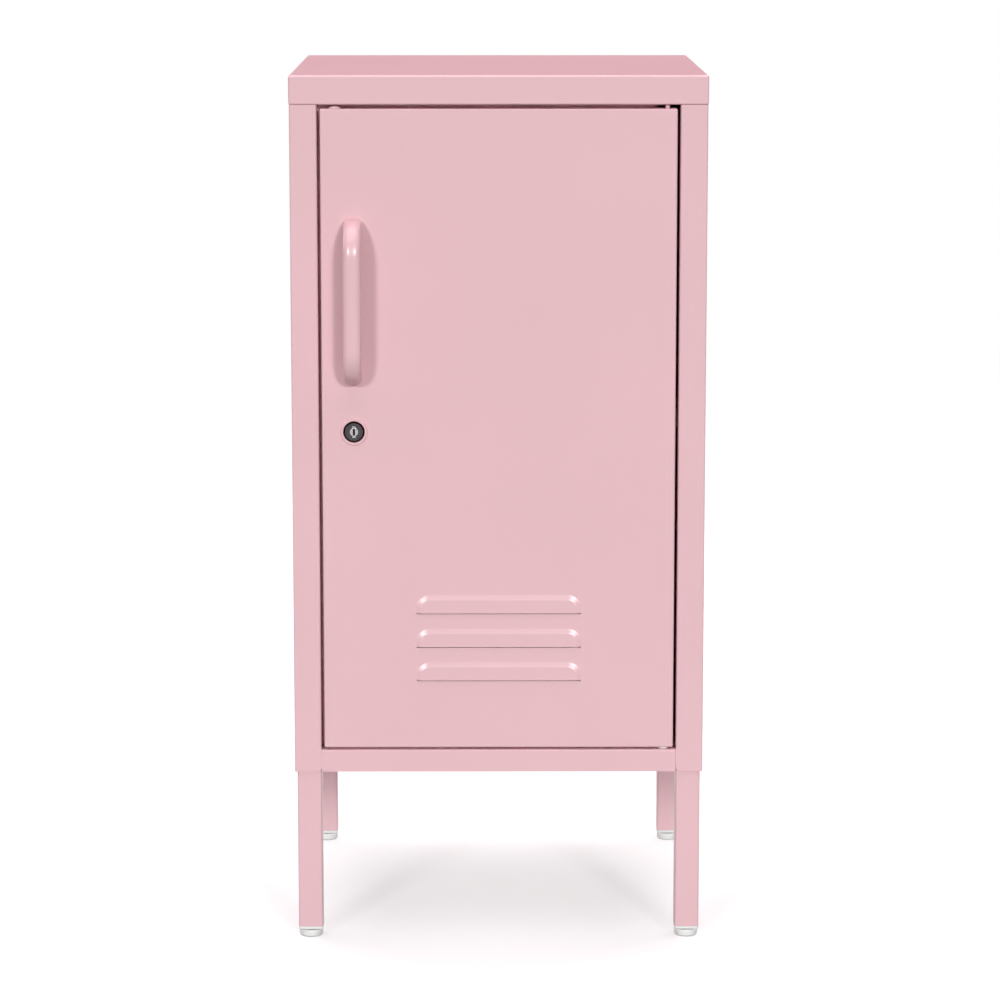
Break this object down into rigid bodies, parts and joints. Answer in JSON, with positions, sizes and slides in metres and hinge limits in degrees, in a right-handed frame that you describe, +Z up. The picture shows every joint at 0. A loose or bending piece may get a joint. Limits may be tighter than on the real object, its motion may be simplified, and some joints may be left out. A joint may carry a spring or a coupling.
{
  "type": "locker cabinet",
  "caption": "Single-door steel locker cabinet on square legs, with a bow handle, cam lock, louvred door, shelf and levelling feet.",
  "frame": {"origin": "on the floor under the middle of the whole object's box, handle included", "axes": "+Z up, the door faces -Y, +X is to the right when facing the door"},
  "size_m": [0.3508, 0.3858, 0.743],
  "materials": {
    "body_paint": "fine-textured powder coat, satin",
    "zinc_steel": "zinc plated",
    "lock_body": "dark nickel plated",
    "lock_insert": "bright",
    "white_nylon": "satin moulded",
    "buffer_plastic": "soft translucent"
  },
  "bodies": {
    "cabinet": {"top_cover": "body_paint", "left_side_panel": "body_paint", "right_side_panel": "body_paint", "back_panel": "body_paint", "bottom_panel": "body_paint", "shelf": "body_paint", "shelf_rail_left": "body_paint", "shelf_rail_right": "body_paint", "leg_front_left": "body_paint", "leg_front_right": "body_paint", "leg_rear_left": "body_paint", "leg_rear_right": "body_paint", "foot_plug_front_left": "white_nylon", "foot_plug_front_right": "white_nylon", "foot_plug_rear_left": "white_nylon", "foot_plug_rear_right": "white_nylon", "leg_bolts": "zinc_steel", "leg_nuts": "zinc_steel", "top_cover_screws": "zinc_steel", "top_cover_nuts": "zinc_steel", "back_panel_screws": "zinc_steel", "base_rivets": "zinc_steel", "upper_hinge_plate": "zinc_steel", "upper_hinge_pin": "zinc_steel", "lower_hinge_pin": "zinc_steel"},
    "door": {"door_panel": "body_paint", "door_stiffener": "body_paint", "door_buffer": "buffer_plastic", "upper_hinge_bush": "white_nylon", "lower_hinge_bush": "white_nylon", "door_handle": "body_paint", "handle_screws": "zinc_steel", "lock_collar": "body_paint", "lock_housing": "lock_body", "lock_nut": "zinc_steel"},
    "lock": {"lock_plug": "lock_body", "lock_key_insert": "lock_insert", "lock_cam": "zinc_steel", "lock_cam_screw": "zinc_steel"},
    "foot_front_left": {"foot_stud_front_left": "zinc_steel", "foot_glide_front_left": "white_nylon"},
    "foot_front_right": {"foot_stud_front_right": "zinc_steel", "foot_glide_front_right": "white_nylon"},
    "foot_rear_left": {"foot_stud_rear_left": "zinc_steel", "foot_glide_rear_left": "white_nylon"},
    "foot_rear_right": {"foot_stud_rear_right": "zinc_steel", "foot_glide_rear_right": "white_nylon"}
  },
  "joints": [
    {"name": "door_hinge", "type": "hinge", "parent": "cabinet", "child": "door", "pos_m": [0.1412, -0.1529, 0.442], "axis": [0, 0, 1], "range_deg": [0, 110]},
    {"name": "lock_turn", "type": "hinge", "parent": "door", "child": "lock", "pos_m": [-0.1224, -0.1589, 0.4431], "axis": [0, -1, 0], "range_deg": [0, 90]},
    {"name": "level_front_left", "type": "slide", "parent": "cabinet", "child": "foot_front_left", "axis": [0, 0, -1], "range_m": [0, 0.01]},
    {"name": "level_front_right", "type": "slide", "parent": "cabinet", "child": "foot_front_right", "axis": [0, 0, -1], "range_m": [0, 0.01]},
    {"name": "level_rear_left", "type": "slide", "parent": "cabinet", "child": "foot_rear_left", "axis": [0, 0, -1], "range_m": [0, 0.01]},
    {"name": "level_rear_right", "type": "slide", "parent": "cabinet", "child": "foot_rear_right", "axis": [0, 0, -1], "range_m": [0, 0.01]}
  ]
}
